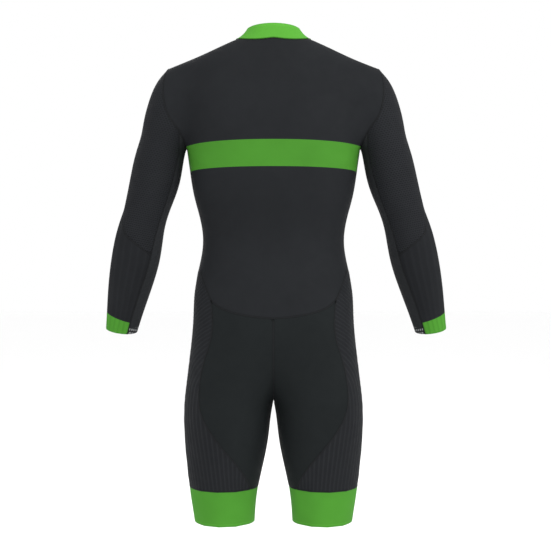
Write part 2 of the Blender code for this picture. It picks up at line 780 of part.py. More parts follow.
def make_trunk(armhole_back, armhole_front):
    """Back and fronts. Returns the seams that the collar and the lower half share with them."""
    armpit, shoulder = armhole_back[0], armhole_back[-1]
    side_neck = neck_curve(1, 0, 20, 1)[0]
    waist_side = trunk_region.points(np.array([FRONT_FOOT[-1]]))[0]

    rise = np.linspace(0, 1, 60)
    heights = WAIST_Z + (ARMPIT_SEAM_Z - WAIST_Z) * rise
    angles = SIDE_SEAM_TURN + (ARMPIT_ANGLE - SIDE_SEAM_TURN) * rise**1.5
    side = pinned(even(trunk_region, np.stack([angles, heights], axis=1), SIDE_ROWS), waist_side, armpit)
    ends = trunk_region.places(np.array([shoulder, side_neck]))
    ridge = pinned(even(trunk_region, np.linspace(*ends, 60), SHOULDER_ROWS), shoulder, side_neck)

    notch = trunk_region.points(np.array([HIP_SEAM[0]]))[0]
    corner = trunk_region.points(np.array([HIP_SEAM[-1]]))[0]
    waist_back = seam(trunk_region, [FRONT_FOOT[-1], HIP_SEAM[0]], WAIST_STEPS)
    waist_back = pinned(waist_back, waist_side, notch)
    hip = pinned(seam(trunk_region, HIP_SEAM, HIP_ROWS), notch, corner)
    low_back = trunk_region.points(np.array([TAIL_EDGE[-1]]))[0] * [0.0, 1.0, 1.0]
    tail = pinned(seam(trunk_region, TAIL_EDGE, SEAT_STEPS), corner, low_back)
    half_foot = join(waist_back, hip, tail)

    collar_back = neck_curve(1, 0, 180, 2 * (len(half_foot) - 1))
    collar_back = pinned(collar_back, side_neck, mirrored(side_neck))
    back_side = join(side, armhole_back, ridge)
    foot = join(half_foot, mirrored(flip(half_foot)))
    wall("back_body", panel_grid(trunk_region, foot, collar_back, back_side, mirrored(back_side)), BLACK)

    front_side = join(side, armhole_front, ridge)
    collar_front = neck_curve(1, ZIP_ANGLE, 0, FRONT_STEPS)
    zip_edge = zip_line(ZIP_HALF_SLOT, ZIP_FOOT_Z, collar_front[0, 2], len(front_side) - 1)
    front_foot = pinned(seam(trunk_region, FRONT_FOOT, FRONT_STEPS), zip_edge[0], waist_side)
    collar_front = pinned(collar_front, zip_edge[-1], side_neck)
    front = panel_grid(trunk_region, front_foot, collar_front, zip_edge, front_side)
    both_sides("front_body", front, BLACK)
    return front, waist_back, hip, tail, join(collar_front, collar_back)


def make_collar(seam_line):
    """The collar stands on its seam, from one side of the zip round the back to the other."""
    foot = join(seam_line, mirrored(flip(seam_line[: FRONT_STEPS + 1])))
    steps = len(foot) - 1
    zip_edge = zip_line(ZIP_HALF_SLOT, foot[0, 2], RIM_FRONT_Z, COLLAR_ROWS)
    front = neck_curve(2, ZIP_ANGLE, 0, FRONT_STEPS)
    back = neck_curve(2, 0, 180, steps - 2 * FRONT_STEPS)
    rim = pinned(join(front, back, mirrored(flip(front))), zip_edge[-1], mirrored(zip_edge[-1]))
    edge = pinned(zip_edge, foot[0], rim[0])
    collar = panel_grid(neck_region, foot, rim, edge, mirrored(edge))
    wall("collar", collar, GREEN)
    return collar


def make_lower_half(front_foot, waist_back, hip, tail):
    """Seats, hip panels and front shorts, and the bands round the legs."""
    corner = tail[0]
    centre_back = crotch_line(tail[-1], CROTCH_ROWS)
    crotch = centre_back[-1]
    inner_rows = THIGH_ROWS - CROTCH_ROWS
    band_inner = leg_back.points(np.array([[180.0, BAND_Z]]))[0]
    heights = np.linspace(crotch[2] - FORK_MARGIN, BAND_Z, 60)
    inner_leg = even(leg_back, np.stack([np.full(60, 180.0), heights], axis=1), inner_rows)
    inner_leg = pinned(inner_leg, crotch, band_inner)
    back_seam = seam(leg_back, BACK_SEAM, THIGH_ROWS)
    back_seam = pinned(back_seam, corner, leg_back.points(np.array([BACK_SEAM[-1]]))[0])

    band_back = seam(leg_back, [BACK_SEAM[-1], (180.0, BAND_Z)], SEAT_STEPS)
    band_back = pinned(band_back, back_seam[-1], band_inner)
    seat_edge = join(centre_back, inner_leg)
    both_sides("seat", panel_grid(leg_back, band_back, tail, flip(back_seam), flip(seat_edge)), BLACK)

    # The hip panel's top is the waist seam, from the notch forward to the seam in front.
    side_top = join(front_foot[SHORT_STEPS:], waist_back)
    front_start = leg_front.places(side_top[:1])[0]
    front_seam = seam(leg_front, [front_start] + FRONT_SEAM, THIGH_ROWS + HIP_ROWS)
    front_seam[0] = side_top[0]
    side_back = join(hip, back_seam)
    band_side = seam(leg_back, [FRONT_SEAM[-1], BACK_SEAM[-1]], len(side_top) - 1)
    band_side = pinned(band_side, front_seam[-1], band_back[0])
    side = panel_grid(leg_back, band_side, side_top, flip(front_seam), flip(side_back))
    both_sides("side", side, BLACK)

    short_rows = len(front_seam) - 1 - inner_rows
    top_centre = front_foot[0] * [0.0, 1.0, 1.0]
    centre_front = join(pinned(crotch_line(top_centre, short_rows), top_centre, crotch), inner_leg)
    short_top = front_foot[: SHORT_STEPS + 1].copy()
    short_top[0] = top_centre
    band_front = seam(leg_front, [(-180.0, BAND_Z), FRONT_SEAM[-1]], SHORT_STEPS)
    band_front = pinned(band_front, band_inner, front_seam[-1])
    short = panel_grid(leg_front, band_front, short_top, flip(centre_front), flip(front_seam))
    both_sides("front_short", short, BLACK)

    ring = join(band_front, band_side, band_back)[:-1]
    angles = leg_back.places(ring)[:, 0]
    rows = [leg_back.points(np.stack([angles, np.full(len(ring), z)], axis=1)) for z in BAND_HEIGHTS[1:]]
    band = np.array([ring] + rows)
    for name, grid in (("leg_band_left", band), ("leg_band_right", mirrored(band))):
        wall(name, grid, GREEN, closed=True)


def make_zip(front, collar):
    """The closed chain in the slot between the fronts, and the two tapes behind their edges.

    The tapes follow the flat facets of the panels that they are sewn to."""
    edge, beside = (join(front[:, column], collar[:, column]) for column in (0, 1))

    def line_at(x, top):
        share = (x - edge[:, :1]) / (beside[:, :1] - edge[:, :1])
        line = edge + (beside - edge) * share
        line[0, 2] += SEAM_GAP
        kept = line[:, 2] < top - SEAM_GAP
        below, above = line[kept][-1], line[~kept][0]
        end = below + (above - below) * (top - below[2]) / (above[2] - below[2])
        return np.vstack([line[kept], end])

    tape = np.stack([line_at(x, RIM_FRONT_Z - 0.001) for x in (TAPE_INNER, TAPE_OUTER)], axis=1)
    wall("zip_tape_left", tape, BLACK, outside=-WALL - TAPE_GAP, thickness=TAPE_WALL)
    wall("zip_tape_right", mirrored(tape), BLACK, outside=-WALL - TAPE_GAP, thickness=TAPE_WALL)
    half = line_at(CHAIN_HALF_WIDTH, RIM_FRONT_Z - CHAIN_END)
    chain = np.stack([mirrored(half), half], axis=1)
    wall("zip_chain", chain, BLACK, outside=CHAIN_RISE, thickness=CHAIN_RISE + WALL + TAPE_GAP + TAPE_WALL)


def box_at(bm, centre, size):
    """Adds a box, given by its middle and its size."""
    place = Matrix.Translation(centre) @ Matrix.Diagonal((*size, 1.0))
    bmesh.ops.create_cube(bm, size=1.0, matrix=place)


def rod_at(bm, centre, radius, length, segments=16):
    """Adds a rod that lies across, along X."""
    place = Matrix.Translation(centre) @ Matrix.Rotation(math.radians(90), 4, "Y")
    bmesh.ops.create_cone(
        bm, cap_ends=True, segments=segments, radius1=radius, radius2=radius, depth=length, matrix=place
    )


def solid_of(name, pieces, cut_outs=()):
    """One closed solid from overlapping pieces, each a function that fills a bmesh."""

    def filled(label, fill):
        bm = bmesh.new()
        fill(bm)
        return add_object(label, bm, METAL, 0.35, 1.0)

    body = filled(name, pieces[0])
    others = [(fill, "UNION") for fill in pieces[1:]] + [(fill, "DIFFERENCE") for fill in cut_outs]
    for fill, operation in others:
        tool = filled("tool", fill)
        cutter = body.modifiers.new("join", "BOOLEAN")
        cutter.operation = operation
        cutter.solver = "EXACT"
        cutter.object = tool
        with bpy.context.temp_override(object=body, active_object=body):
            bpy.ops.object.modifier_apply(modifier=cutter.name)
        bpy.data.objects.remove(tool)
    return body


def make_slider():
    """The slider at the top of the zip, and the tab that swings on its pin.

    Both are built upright at the origin, with Y into the garment, and then turned into place."""
    low, high = zip_line(0.0, RIM_FRONT_Z - SLIDER_LENGTH, RIM_FRONT_Z, 1)
    run = high - low
    place = Matrix.Translation(high) @ Matrix.Rotation(math.atan2(-run[1], run[2]), 4, "X")

    front_y = -CHAIN_RISE - CLEARANCE - PLATE_WALL / 2
    back_y = WALL + TAPE_GAP + TAPE_WALL + CLEARANCE + PLATE_WALL / 2
    middle_z = -SLIDER_TOP - SLIDER_LENGTH / 2
    pin_y = front_y - PLATE_WALL / 2 - CLEARANCE - EYE_RADIUS
    plate = (SLIDER_WIDTH, PLATE_WALL, SLIDER_LENGTH)
    ear = (EAR_OUTER - EAR_INNER, front_y - pin_y + EYE_RADIUS, 2 * EYE_RADIUS)
    ear_x = (EAR_OUTER + EAR_INNER) / 2
    ear_y = (front_y + pin_y - EYE_RADIUS) / 2
    bridge = (2 * CHAIN_HALF_WIDTH, back_y - front_y, 0.0030)
    slider = solid_of(
        "zip_slider",
        [
            lambda bm: box_at(bm, (0, front_y, middle_z), plate),
            lambda bm: box_at(bm, (0, back_y, middle_z), plate),
            lambda bm: box_at(bm, (0, (front_y + back_y) / 2, -SLIDER_TOP - 0.0019), bridge),
            lambda bm: box_at(bm, (-ear_x, ear_y, -PIN_DROP), ear),
            lambda bm: box_at(bm, (ear_x, ear_y, -PIN_DROP), ear),
            lambda bm: rod_at(bm, (0, pin_y, -PIN_DROP), PIN_RADIUS, 2 * ear_x),
        ],
    )
    slider.matrix_world = place

    # The tab is built about its pin and hangs with its tip just clear of the cloth.
    tab_top = -EYE_RADIUS - 0.0024
    tab_middle = (tab_top - TAB_LENGTH) / 2
    tab = solid_of(
        "zip_pull_tab",
        [
            lambda bm: rod_at(bm, (0, 0, 0), EYE_RADIUS, EYE_WIDTH),
            lambda bm: box_at(bm, (0, 0, tab_top / 2 - 0.001), (EYE_WIDTH, TAB_WALL * 0.9, 0.0040)),
            lambda bm: box_at(bm, (0, 0, tab_middle), (TAB_WIDTH, TAB_WALL, TAB_LENGTH + tab_top)),
        ],
        [lambda bm: rod_at(bm, (0, 0, 0), PIN_RADIUS + 0.0003, 2 * EYE_WIDTH)],
    )
    pin = place @ Vector((0, pin_y, -PIN_DROP))
    under = zip_line(0.0, pin.z - TAB_LENGTH, pin.z - TAB_LENGTH / 3, 12)
    under += normals_at(under) * (CHAIN_RISE + CLEARANCE + TAB_WALL / 2)
    hang = min(math.atan2(y - pin.y, pin.z - z) for _, y, z in under)
    tab.matrix_world = Matrix.Translation(pin) @ Matrix.Rotation(hang, 4, "X")


def main():
    armhole_back, armhole_front = make_sleeves()
    front, waist_back, hip, tail, collar_seam = make_trunk(armhole_back, armhole_front)
    collar = make_collar(collar_seam)
    make_lower_half(front[0], waist_back, hip, tail)
    make_zip(front, collar)
    make_slider()


for old in list(bpy.data.objects):
    bpy.data.objects.remove(old)
suit = bpy.data.collections.new("time_trial_skinsuit")
bpy.context.scene.collection.children.link(suit)
main()
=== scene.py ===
import math

import bmesh
import bpy
import numpy as np
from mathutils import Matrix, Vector


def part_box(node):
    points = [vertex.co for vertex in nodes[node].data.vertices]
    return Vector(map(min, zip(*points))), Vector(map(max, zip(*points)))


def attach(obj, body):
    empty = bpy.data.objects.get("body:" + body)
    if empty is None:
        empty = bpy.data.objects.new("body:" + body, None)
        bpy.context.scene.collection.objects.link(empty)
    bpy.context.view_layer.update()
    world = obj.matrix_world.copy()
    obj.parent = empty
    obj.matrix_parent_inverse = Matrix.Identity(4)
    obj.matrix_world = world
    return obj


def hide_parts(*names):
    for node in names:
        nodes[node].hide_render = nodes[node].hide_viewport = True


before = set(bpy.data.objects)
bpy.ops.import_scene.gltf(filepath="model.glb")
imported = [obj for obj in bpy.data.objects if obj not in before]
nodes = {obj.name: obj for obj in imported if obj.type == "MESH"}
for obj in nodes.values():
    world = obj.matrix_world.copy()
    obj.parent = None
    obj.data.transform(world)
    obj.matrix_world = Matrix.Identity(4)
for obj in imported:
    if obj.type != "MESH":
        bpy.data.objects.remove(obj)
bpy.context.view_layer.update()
scene = bpy.context.scene


class Value:  # a shader socket that can be reckoned with
    def __init__(self, sheet, socket):
        self.sheet = sheet
        self.socket = socket

    def math(self, operation, *others):
        return self.sheet.math(operation, self, *others)

    def other(self, output):
        return Value(self.sheet, self.socket.node.outputs[output])

    def __add__(self, other):
        return self.math("ADD", other)

    def __radd__(self, other):
        return self.sheet.math("ADD", other, self)

    def __sub__(self, other):
        return self.math("SUBTRACT", other)

    def __rsub__(self, other):
        return self.sheet.math("SUBTRACT", other, self)

    def __mul__(self, other):
        return self.math("MULTIPLY", other)

    def __rmul__(self, other):
        return self.sheet.math("MULTIPLY", other, self)

    def __truediv__(self, other):
        return self.math("DIVIDE", other)

    def __rtruediv__(self, other):
        return self.sheet.math("DIVIDE", other, self)

    def __mod__(self, other):
        return self.math("FLOORED_MODULO", other)

    def __rmod__(self, other):
        return self.sheet.math("FLOORED_MODULO", other, self)

    def __pow__(self, other):
        return self.math("POWER", other)

    def __rpow__(self, other):
        return self.sheet.math("POWER", other, self)

    def __gt__(self, other):
        return self.math("GREATER_THAN", other)

    def __lt__(self, other):
        return self.math("LESS_THAN", other)

    def __abs__(self):
        return self.math("ABSOLUTE")

    def wave(self):
        return self.math("SINE")

    def whole(self):
        return self.math("FLOOR")

    def ramp(self, low, high, toLow=0.0, toHigh=1.0):
        stops = {0: self, 1: low, 2: high, 3: toLow, 4: toHigh}
        return self.sheet.add("ShaderNodeMapRange", {"interpolation_type": "SMOOTHSTEP"}, stops, "Result")


class Sheet:  # the nodes of one material
    def __init__(self, name):
        self.material = bpy.data.materials.new(name)
        self.material.use_nodes = True
        self.tree = self.material.node_tree
        self.shader = self.tree.nodes["Principled BSDF"]

    def plug(self, socket, value):
        if isinstance(value, Value):
            self.tree.links.new(value.socket, socket)
        else:
            socket.default_value = (*value, 1.0) if socket.type == "RGBA" else value

    def add(self, kind, settings, sockets, output=0):
        node = self.tree.nodes.new(kind)
        for name, value in settings.items():
            setattr(node, name, value)
        for name, value in sockets.items():
            self.plug(node.inputs[name], value)
        return Value(self, node.outputs[output])

    def math(self, operation, *values):
        return self.add("ShaderNodeMath", {"operation": operation}, dict(enumerate(values)))

    def place(self):
        return self.add("ShaderNodeTexCoord", {}, {}, "Object")

    def axes(self, vector):
        x = self.add("ShaderNodeSeparateXYZ", {}, {0: vector}, "X")
        return x, x.other("Y"), x.other("Z")

    def cloth(self):  # metres round the body and metres down it
        u, v, _ = self.axes(self.add("ShaderNodeUVMap", {"uv_map": "cloth"}, {}, "UV"))
        return u, v

    def attribute(self, name):
        return self.add("ShaderNodeAttribute", {"attribute_name": name}, {}, "Fac")

    def noise(self, scale, detail=2.0):
        sockets = {"Vector": self.place(), "Scale": scale, "Detail": detail}
        return self.add("ShaderNodeTexNoise", {}, sockets, "Fac")

    def mix(self, share, low, high):
        return self.add("ShaderNodeMix", {"data_type": "RGBA"}, {0: share, 6: low, 7: high}, 2)

    def scaled(self, colour, share):
        settings = {"operation": "SCALE"}
        return self.add("ShaderNodeVectorMath", settings, {0: colour, "Scale": share}, "Vector")

    def bump(self, height, strength, distance):
        sockets = {"Height": height, "Strength": strength, "Distance": distance}
        return self.add("ShaderNodeBump", {}, sockets, "Normal")

    def finish(self, sockets):
        for name, value in sockets.items():
            self.plug(self.shader.inputs[name], value)
        return self.material


print("materials")
colours = {
    "trunk": (0.0122, 0.0132, 0.0148),
    "seat": (0.0094, 0.0112, 0.0118),
    "sleeve": (0.0142, 0.0152, 0.0172),
    "ribbed": (0.0112, 0.0120, 0.0136),
    # the lighter rib colour is a painted highlight along the ridges
    "ribPaintedHighlight": (0.0172, 0.0184, 0.0206),
    # the dimples' dark colour is painted shade
    "shadedDash": (0.0040, 0.0043, 0.0050),
    "mesh": (0.0225, 0.0240, 0.0262),
    # the holes' dark colour is painted shade
    "shadedHole": (0.0060, 0.0064, 0.0070),
    "grip": (0.2300, 0.2400, 0.2400),
    "bandGreen": (0.0480, 0.1870, 0.0196),
    "trimGreen": (0.0550, 0.2190, 0.0230),
    "cuffLine": (0.0425, 0.1710, 0.0178),
    # the collar is the same green knit as the leg band, painted lighter as painted light from above
    "collarGreenWithPaintedLight": (0.0740, 0.2900, 0.0300),
    "seam": (0.0058, 0.0063, 0.0070),
    "thread": (0.0092, 0.0099, 0.0110),
    "tapeDark": (0.0110, 0.0110, 0.0120),
    "tapeLight": (0.0260, 0.0260, 0.0280),
    "coil": (0.0120, 0.0120, 0.0130),
    "metal": (0.0350, 0.0350, 0.0380),
    "floor": (0.9850, 0.9850, 0.9850),
}

# Share is how far a mark goes to its own colour, knit is how much of the knit's height shows beside
# it, edge is where it fades out, and strength and bump are for its relief
knit = {"wale": 0.0011, "course": 0.0009, "waleShare": 0.6, "courseShare": 0.4, "wander": 0.8}
knit |= {"grain": 60.0, "rough": (0.66, 0.78), "gloss": 0.06, "strength": 0.25, "bump": 0.0002}
# change is the random tone; turn and seamShadeDark set the painted shade beside the seams
toneAndSeamShade = {"scale": 9.0, "detail": 3.0, "change": 0.06, "turn": (0.0006, 0.0026), "seamShadeDark": 0.55}
band = {"top": -0.2177, "topDip": -0.133, "bottom": -0.2696, "bottomDip": -0.083}
dimple = {"rise": 0.0043, "across": 0.0054, "acrossEdge": (0.24, 0.36), "alongEdge": (0.12, 0.26)}
dimple |= {"share": 0.75, "knit": 0.12, "strength": 0.6, "bump": 0.0006}
# rib share and cuffRib armShare set how strong the painted highlight along the ridges is
rib = {"low": 0.35, "high": 0.95, "share": 0.7, "knit": 0.15, "strength": 0.6, "bump": 0.0007}
cuffRib = {"armShare": 0.25, "cuffShare": 0.5, "knit": 0.15, "strength": 0.25, "bump": 0.0007}
holes = {"across": 0.0034, "rise": 0.0029, "edge": (0.20, 0.34), "share": 0.8}
holes |= {"strength": 0.6, "bump": 0.0005}
gripDots = {"step": 0.0078, "edge": (0.26, 0.36), "below": 0.010}
hem = {"row": 0.0045, "half": 0.0004, "stitch": 0.0032, "edge": (0.66, 0.78), "lighter": 1.5}
hem |= {"share": 0.5, "knit": 0.3, "rise": 1.6, "strength": 0.4, "bump": 0.0002}
zigzag = {"step": 0.0028, "width": (0.25, 0.65), "edge": 0.82, "edgeWidth": 0.16}
zigzag |= {"rough": 0.7, "gloss": 0.12, "strength": 0.6, "bump": 0.0003}
tape = {"warp": 5200.0, "weft": 4200.0, "rough": 0.75, "strength": 0.5, "bump": 0.0003}
fine = {"patches": 120.0, "change": 0.06, "grain": 900.0, "strength": 0.08, "bump": 0.0001}
noiseMiddle = (0.3, 0.7)  # where most of a noise lies
noiseWhole = (0.2, 0.8)  # where nearly all of it lies


def knitHeight(sheet):  # fine wales down the cloth, and courses across it
    u, v = sheet.cloth()
    wale = (u * (2 * math.pi / knit["wale"])).wave()
    course = (v * (2 * math.pi / knit["course"]) + wale * knit["wander"]).wave()
    return wale * knit["waleShare"] + course * knit["courseShare"]


def toneWithSeamShade(sheet, colour):  # uneven in tone over the cloth at random, with painted shade darkening it near each seam
    low, high = 1 - toneAndSeamShade["change"], 1 + toneAndSeamShade["change"]
    patch = sheet.noise(toneAndSeamShade["scale"], toneAndSeamShade["detail"]).ramp(*noiseMiddle, low, high)
    # painted shade: the colour darkens within a few millimetres of each joined seam
    seamShade = sheet.attribute("seam").ramp(*toneAndSeamShade["turn"], toneAndSeamShade["seamShadeDark"], 1.0)
    return sheet.scaled(colour, patch * seamShade)


def clothFinish(sheet, colour, height, relief):
    rough = sheet.noise(knit["grain"]).ramp(*noiseWhole, *knit["rough"])
    normal = sheet.bump(height, relief["strength"], relief["bump"])
    sockets = {"Base Color": toneWithSeamShade(sheet, colour), "Roughness": rough, "Normal": normal}
    return sheet.finish(sockets | {"Specular IOR Level": knit["gloss"]})


def smoothKnit(name, colour):
    sheet = Sheet(name)
    return clothFinish(sheet, colour, knitHeight(sheet), knit)


def bandedKnit(name):  # a printed band across the chest and the back
    sheet = Sheet(name)
    x, _, z = sheet.axes(sheet.place())
    top = x * x * band["topDip"] + band["top"]
    bottom = x * x * band["bottomDip"] + band["bottom"]
    shown = sheet.mix((z < top) * (z > bottom), colours["trunk"], colours["bandGreen"])
    return clothFinish(sheet, shown, knitHeight(sheet), knit)


def hemmedKnit(name, colour):  # a row of stitches holds the free edge
    sheet = Sheet(name)
    u, _ = sheet.cloth()
    row = abs(sheet.attribute("hem") - hem["row"]).ramp(hem["half"], hem["half"] * 2, 1.0, 0.0)
    stitches = row * ((u / hem["stitch"]) % 1.0).ramp(*hem["edge"], 1.0, 0.0)
    thread = tuple(min(part * hem["lighter"], 1.0) for part in colour)
    shown = sheet.mix(stitches * hem["share"], colour, thread)
    height = knitHeight(sheet) * hem["knit"] - row + stitches * hem["rise"]
    return clothFinish(sheet, shown, height, hem)


def dimpledKnit(name):  # rows of short dashes, each row shifted by half a step; each dash is a dimple painted dark with painted shade
    sheet = Sheet(name)
    u, v = sheet.cloth()
    row = (v / dimple["rise"]).whole()
    across = abs((u / dimple["across"] + row * 0.5) % 1.0 - 0.5)
    along = abs((v / dimple["rise"]) % 1.0 - 0.5)
    shadedDash = across.ramp(*dimple["acrossEdge"], 1.0, 0.0) * along.ramp(*dimple["alongEdge"], 1.0, 0.0)
    shown = sheet.mix(shadedDash * dimple["share"], colours["sleeve"], colours["shadedDash"])
    return clothFinish(sheet, shown, knitHeight(sheet) * dimple["knit"] - shadedDash, dimple)


def ribLine(sheet):  # 1 along each rib and 0 between
    return (abs(sheet.attribute("rib") % 1.0 - 0.5) * 2.0).ramp(rib["low"], rib["high"])


def ribbedKnit(name):
    sheet = Sheet(name)
    line = ribLine(sheet)
    # each rib's ridge is painted lighter, a painted highlight
    shown = sheet.mix(line * rib["share"], colours["ribbed"], colours["ribPaintedHighlight"])
    return clothFinish(sheet, shown, line + knitHeight(sheet) * rib["knit"], rib)


def cuffedKnit(name):  # ribs along the forearm, with the cuff printed over them
    sheet = Sheet(name)
    line = ribLine(sheet)
    # the forearm's ridges carry the same painted highlight, more faintly
    arm = sheet.mix(line * cuffRib["armShare"], colours["ribbed"], colours["ribPaintedHighlight"])
    cuff = sheet.mix(line * cuffRib["cuffShare"], colours["trimGreen"], colours["cuffLine"])
    shown = sheet.mix(sheet.attribute("cuff") > 0.0, arm, cuff)
    return clothFinish(sheet, shown, line + knitHeight(sheet) * cuffRib["knit"], cuffRib)


def dots(sheet, acrossStep, riseStep, edge):  # 1 in each dot, every other row shifted
    u, v = sheet.cloth()
    row = (v / riseStep).whole()
    across = (u / acrossStep + row * 0.5) % 1.0 - 0.5
    along = (v / riseStep) % 1.0 - 0.5
    return ((across * across + along * along) ** 0.5).ramp(*edge, 1.0, 0.0)


def meshKnit(name):  # staggered holes painted dark with painted shade, and silicone dots at the cuff's end
    sheet = Sheet(name)
    shadedHole = dots(sheet, holes["across"], holes["rise"], holes["edge"])
    dot = dots(sheet, gripDots["step"], gripDots["step"], gripDots["edge"])
    grip = (sheet.attribute("grip") > 0.0) * dot
    shown = sheet.mix(shadedHole * holes["share"], colours["mesh"], colours["shadedHole"])
    shown = sheet.mix(grip, shown, colours["grip"])
    return clothFinish(sheet, shown, grip - shadedHole, holes)


def flatSeam(name):  # covering stitches that run to and fro over a seam
    sheet = Sheet(name)
    u, v = sheet.cloth()
    swing = abs((u / zigzag["step"]) % 1.0 - 0.5) * 4.0 - 1.0
    thread = abs(v - swing).ramp(*zigzag["width"], 1.0, 0.0)
    edge = abs(abs(v) - zigzag["edge"]).ramp(0.0, zigzag["edgeWidth"], 1.0, 0.0)
    line = thread.math("MAXIMUM", edge)
    shown = sheet.mix(line, colours["seam"], colours["thread"])
    normal = sheet.bump(line, zigzag["strength"], zigzag["bump"])
    sockets = {"Base Color": shown, "Roughness": zigzag["rough"], "Normal": normal}
    return sheet.finish(sockets | {"Specular IOR Level": zigzag["gloss"]})


def wovenTape(name):
    sheet = Sheet(name)
    x, _, z = sheet.axes(sheet.place())
    weave = (x * tape["warp"]).wave() * (z * tape["weft"]).wave()
    shown = sheet.mix(weave.ramp(-1.0, 1.0), colours["tapeDark"], colours["tapeLight"])
    normal = sheet.bump(weave, tape["strength"], tape["bump"])
    return sheet.finish({"Base Color": shown, "Roughness": tape["rough"], "Normal": normal})


def plain(name, colour, roughness, metallic=0.0):
    sheet = Sheet(name)
    low, high = roughness - fine["change"], roughness + fine["change"]
    rough = sheet.noise(fine["patches"]).ramp(*noiseWhole, low, high)
    normal = sheet.bump(sheet.noise(fine["grain"]), fine["strength"], fine["bump"])
    sockets = {"Base Color": colour, "Roughness": rough, "Normal": normal, "Metallic": metallic}
    return sheet.finish(sockets)


materials = {
    "banded": bandedKnit("dark_knit_band"),
    "seat": smoothKnit("dark_knit_seat", colours["seat"]),
    "trim": hemmedKnit("green_knit_leg", colours["trimGreen"]),
    "collar": hemmedKnit("green_knit_collar", colours["collarGreenWithPaintedLight"]),
    "dimpled": dimpledKnit("dimpled_knit"),
    "forearm": cuffedKnit("ribbed_knit_cuff"),
    "side": ribbedKnit("ribbed_knit_side"),
    "mesh": meshKnit("mesh_knit"),
    "seam": flatSeam("flat_seam"),
    "tape": wovenTape("zip_tape"),
    "coil": plain("zip_coil", colours["coil"], 0.42),
    "metal": plain("zip_metal", colours["metal"], 0.34, 0.9),
    "floor": plain("floor", colours["floor"], 0.9),
}

# The left arm's middle line, from the hand up to the shoulder, for maps that run along a sleeve
armLine = [
    {"z": -0.700, "x": 0.328, "y": -0.060},
    {"z": -0.597, "x": 0.318, "y": -0.046},
    {"z": -0.536, "x": 0.3035, "y": -0.0305},
    {"z": -0.496, "x": 0.294, "y": -0.019},
    {"z": -0.456, "x": 0.284, "y": -0.0085},
    {"z": -0.399, "x": 0.275, "y": 0.0015},
    {"z": -0.326, "x": 0.2505, "y": 0.0015},
    {"z": -0.240, "x": 0.234, "y": 0.0005},
    {"z": -0.158, "x": 0.211, "y": 0.0},
    {"z": -0.058, "x": 0.191, "y": 0.0},
    {"z": 0.050, "x": 0.190, "y": 0.0},
]
rightArm = {"low": -0.60, "lowSwing": 0.011, "high": -0.26}  # the right arm hangs a little further out
sleeveRun = {"across": 0.22, "down": 1.05}  # the way down a sleeve leans outward
trunkMiddle = {"y": -0.005}
legMiddle = {"x": 0.098, "y": 0.004}


def armPlace(points, side):  # how far each point is from the arm's middle line, across and in depth
    z = points[:, 2]
    swing = np.interp(z, [rightArm["low"], rightArm["high"]], [rightArm["lowSwing"], 0.0])
    x = np.abs(points[:, 0]) - (swing if side < 0 else 0.0)
    heights, across, depth = ([row[key] for row in armLine] for key in ("z", "x", "y"))
    return x, x - np.interp(z, heights, across), points[:, 1] - np.interp(z, heights, depth)


def sleeveMap(points, side):
    _, across, depth = armPlace(points, side)
    return np.arctan2(depth, across), across * sleeveRun["across"] - points[:, 2] * sleeveRun["down"]


def trunkMap(points, side):
    return np.arctan2(points[:, 1] - trunkMiddle["y"], points[:, 0]), -points[:, 2]


def legMap(points, side):
    across = points[:, 0] * side - legMiddle["x"]
    return np.arctan2(points[:, 1] - legMiddle["y"], across), -points[:, 2]


maps = {
    "sleeve": {"place": sleeveMap, "radius": 0.048},
    "trunk": {"place": trunkMap, "radius": 0.135},
    "leg": {"place": legMap, "radius": 0.082},
}

# The ribs of the side panel run down the thigh and lean back over the hip: how far apart they
# are round the leg, and how many are crossed in a metre straight up
ribFlow = [
    {"z": -0.95, "pitch": 0.0098, "crossed": -12},
    {"z": -0.78, "pitch": 0.0098, "crossed": -5},
    {"z": -0.70, "pitch": 0.0105, "crossed": 20},
    {"z": -0.64, "pitch": 0.0135, "crossed": 70},
    {"z": -0.58, "pitch": 0.0165, "crossed": 112},
    {"z": -0.42, "pitch": 0.0175, "crossed": 120},
]
sideRibs = {"rise": 0.0005, "steps": 241}
forearmRibs = {"count": 13, "span": math.radians(264)}
cuffEdge = {"z": -0.578, "x": 0.288, "acrossSlope": 0.38, "y": -0.040, "depthSlope": -0.27}


def legRibs(points, side):  # a whole number on each rib
    turn, _ = legMap(points, side)
    heights, pitch, crossed = (np.array([row[key] for row in ribFlow]) for key in ("z", "pitch", "crossed"))
    levels = np.linspace(heights[0], heights[-1], sideRibs["steps"])
    rate = np.interp(levels, heights, crossed)
    shift = np.concatenate([[0], np.cumsum((rate[1:] + rate[:-1]) / 2 * np.diff(levels))])
    counted = turn * maps["leg"]["radius"] / np.interp(points[:, 2], heights, pitch)
    return counted - np.interp(points[:, 2], levels, shift)


def armRibs(points, side):
    turn, _ = sleeveMap(points, side)
    return turn * forearmRibs["count"] / forearmRibs["span"]


def cuffDepth(points, side):  # above 0 where the cuff is printed
    x, _, _ = armPlace(points, side)
    slope = cuffEdge["acrossSlope"] * (x - cuffEdge["x"])
    slope += cuffEdge["depthSlope"] * (points[:, 1] - cuffEdge["y"])
    return cuffEdge["z"] + slope - points[:, 2]


def ribRelief(points, side):
    near = np.abs(legRibs(points, side) % 1 - 0.5) * 2
    return sideRibs["rise"] * np.clip((near - rib["low"]) / (rib["high"] - rib["low"]), 0, 1) ** 2


